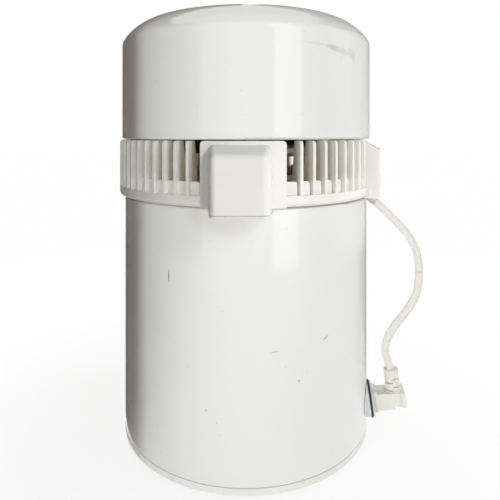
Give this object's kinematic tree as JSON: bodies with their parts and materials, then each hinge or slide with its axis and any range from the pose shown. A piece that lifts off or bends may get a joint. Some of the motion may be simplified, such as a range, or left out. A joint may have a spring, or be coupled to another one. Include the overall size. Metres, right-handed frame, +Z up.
{
  "type": "countertop water distiller",
  "caption": "Round enamelled boiler with a lift-off condenser head, louvred air ring, front outlet nozzle and a short fan cord plugged in low on its side.",
  "frame": {"origin": "on the body's axis at the floor, level with the undersides of the four rubber feet", "axes": "+Z up along the body's axis, -Y out of the outlet nozzle, +X to the side of the fan cord"},
  "size_m": [0.2785, 0.253, 0.3711],
  "materials": {
    "enamel": "glossy off-white stove enamel",
    "ring_plastic": "moulded cream-white, satin gloss",
    "nozzle_plastic": "moulded white, satin gloss",
    "base_plastic": "moulded white",
    "stainless": "brushed stainless steel",
    "zinc_steel": "zinc-plated steel",
    "aluminium": "mill finish",
    "element_steel": "heat-tinted steel tube",
    "brass": "turned brass",
    "rubber_foot": "soft black rubber",
    "silicone": "translucent white silicone",
    "navy_rubber": "dark blue-black rubber",
    "inlet_black": "black moulded thermoplastic",
    "bezel_plastic": "pale blue-white moulded plastic",
    "socket_white": "white moulded plastic",
    "phenolic": "buff phenolic",
    "thermostat_body": "brown phenolic",
    "button_black": "black moulded plastic",
    "cord_ivory": "ivory flexible PVC, slightly yellowed",
    "plug_ivory": "ivory moulded PVC",
    "motor_steel": "dark painted motor steel",
    "fan_plastic": "dark grey moulded plastic",
    "charcoal_cloth": "cloth sachet of charcoal"
  },
  "bodies": {
    "boiler": {"outer_shell": "enamel", "base_pan": "base_plastic", "rubber_feet": "rubber_foot", "foot_screws": "zinc_steel", "boiling_tank": "stainless", "heating_element": "element_steel", "heater_clamp": "zinc_steel", "heater_studs": "zinc_steel", "heater_nuts": "brass", "control_thermostat": "thermostat_body", "safety_thermostat": "thermostat_body", "mains_inlet": "inlet_black", "inlet_pins": "brass", "inlet_screws": "zinc_steel", "reset_bezel": "inlet_black", "cutout_switch": "thermostat_body", "socket_bezel": "bezel_plastic", "socket_gasket": "navy_rubber", "socket_face": "socket_white", "socket_insert": "phenolic", "socket_contacts": "brass"},
    "head": {"head_cover": "enamel", "louvre_ring": "ring_plastic", "nozzle_housing": "nozzle_plastic", "cord_exit_box": "nozzle_plastic", "cord_gland": "cord_ivory", "fan_cord_upper": "cord_ivory", "steam_plate": "stainless", "lid_gasket": "silicone", "cover_screws": "zinc_steel", "condenser_coil": "stainless", "condenser_fins": "aluminium", "coil_straps": "stainless", "coil_unions": "silicone", "steam_riser": "stainless", "outlet_tube": "stainless", "motor_bracket": "zinc_steel", "fan_motor": "motor_steel"},
    "fan": {"motor_rotor": "aluminium", "motor_shaft": "zinc_steel", "fan_blade": "fan_plastic", "fan_nut": "brass"},
    "cup": {"filter_cup": "socket_white", "charcoal_sachet": "charcoal_cloth"},
    "plug": {"plug_body": "plug_ivory", "plug_pins": "brass", "plug_boot": "plug_ivory", "fan_cord_lower": "cord_ivory"},
    "button": {"reset_button": "button_black"}
  },
  "joints": [
    {"name": "head_lift", "type": "slide", "parent": "boiler", "child": "head", "axis": [0, 0, 1], "range_m": [0, 0.028], "deforming": ["fan_cord_upper"]},
    {"name": "fan_spin", "type": "hinge", "parent": "head", "child": "fan", "pos_m": [0, 0, 0.256], "axis": [0, 0, 1], "continuous": true},
    {"name": "cup_slide", "type": "slide", "parent": "head", "child": "cup", "axis": [0, 0, -1], "range_m": [0, 0.038]},
    {"name": "plug_pull", "type": "slide", "parent": "boiler", "child": "plug", "axis": [0.983, -0.1294, 0.1305], "range_m": [0, 0.02]},
    {"name": "reset_press", "type": "slide", "parent": "boiler", "child": "button", "axis": [-0.5299, -0.848, 0], "range_m": [0, 0.0025], "stiffness_N_per_m": 400, "springref_m": -0.003}
  ]
}
